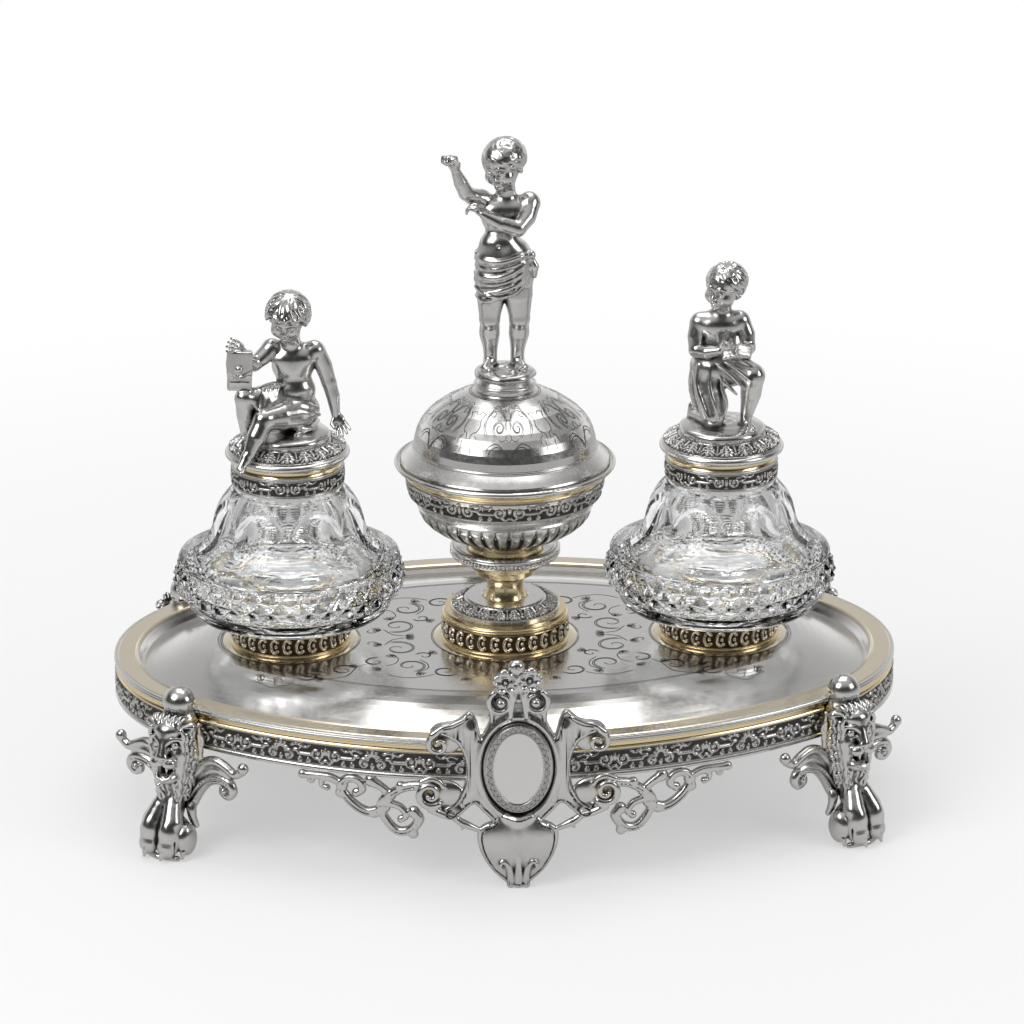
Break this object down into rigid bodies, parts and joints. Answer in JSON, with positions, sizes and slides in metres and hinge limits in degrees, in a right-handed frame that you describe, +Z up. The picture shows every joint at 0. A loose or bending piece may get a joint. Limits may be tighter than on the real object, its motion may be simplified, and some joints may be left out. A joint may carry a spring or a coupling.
{
  "type": "desk inkstand",
  "caption": "Oval footed desk inkstand: cut-glass inkwells with lift-off covers and a covered cup on a footed tray, for holding ink and pen sundries on a desk.",
  "frame": {"origin": "on the desk, under the middle of the oval tray", "axes": "+X along the length of the tray towards the right as seen from the front, -Y towards the front, +Z up"},
  "size_m": [0.36, 0.2536, 0.3088],
  "materials": {
    "silver": "polished silver with darkened recesses",
    "oxidised_relief": "relief band, oxidised ground with polished tops",
    "gilt": "fire gilt, soft polish",
    "cut_glass": "clear cut crystal",
    "fastener": "dull turned metal"
  },
  "bodies": {
    "tray": {"tray_dish": "silver", "rim_band": "gilt", "rim_fillet": "silver", "gallery_moulding": "gilt", "gallery_frieze": "oxidised_relief", "gallery_base_bead": "silver", "front_left_lion_foot": "silver", "front_right_lion_foot": "silver", "rear_left_lion_foot": "silver", "rear_right_lion_foot": "silver", "front_left_foot_arms": "silver", "front_right_foot_arms": "silver", "rear_left_foot_arms": "silver", "rear_right_foot_arms": "silver", "lion_foot_screws": "fastener", "front_cartouche": "silver", "rear_cartouche": "silver", "front_medallion": "silver", "rear_medallion": "silver", "front_crest": "silver", "rear_crest": "silver", "cartouche_screws": "fastener", "front_left_bracket": "silver", "front_right_bracket": "silver", "rear_left_bracket": "silver", "rear_right_bracket": "silver", "left_well_ring": "gilt", "right_well_ring": "gilt", "ring_screws": "fastener", "plinth_ring": "gilt", "leaf_step": "silver", "cup_stem": "gilt", "beaded_flange": "silver", "bowl_collar": "gilt", "bowl": "silver", "bowl_rim": "gilt", "tie_rod": "fastener", "tie_rod_nut": "fastener"},
    "left_inkwell": {"left_bottle": "cut_glass", "left_collar": "oxidised_relief"},
    "right_inkwell": {"right_bottle": "cut_glass", "right_collar": "oxidised_relief"},
    "left_lid": {"left_cover": "silver", "left_bezel": "gilt", "seated_figure": "silver", "seated_figure_screw": "fastener"},
    "right_lid": {"right_cover": "silver", "right_bezel": "gilt", "kneeling_figure": "silver", "kneeling_figure_screw": "fastener"},
    "dome_cover": {"dome": "silver", "dome_skirt": "silver", "figure_plinth": "silver", "standing_figure": "silver", "standing_figure_screw": "fastener"}
  },
  "joints": [
    {"name": "left_inkwell_lift", "type": "slide", "parent": "tray", "child": "left_inkwell", "axis": [0, 0, 1], "range_m": [0, 0.04]},
    {"name": "right_inkwell_lift", "type": "slide", "parent": "tray", "child": "right_inkwell", "axis": [0, 0, 1], "range_m": [0, 0.04]},
    {"name": "left_lid_lift", "type": "slide", "parent": "left_inkwell", "child": "left_lid", "axis": [0, 0, 1], "range_m": [0, 0.06]},
    {"name": "right_lid_lift", "type": "slide", "parent": "right_inkwell", "child": "right_lid", "axis": [0, 0, 1], "range_m": [0, 0.06]},
    {"name": "dome_cover_lift", "type": "slide", "parent": "tray", "child": "dome_cover", "axis": [0, 0, 1], "range_m": [0, 0.06]}
  ]
}
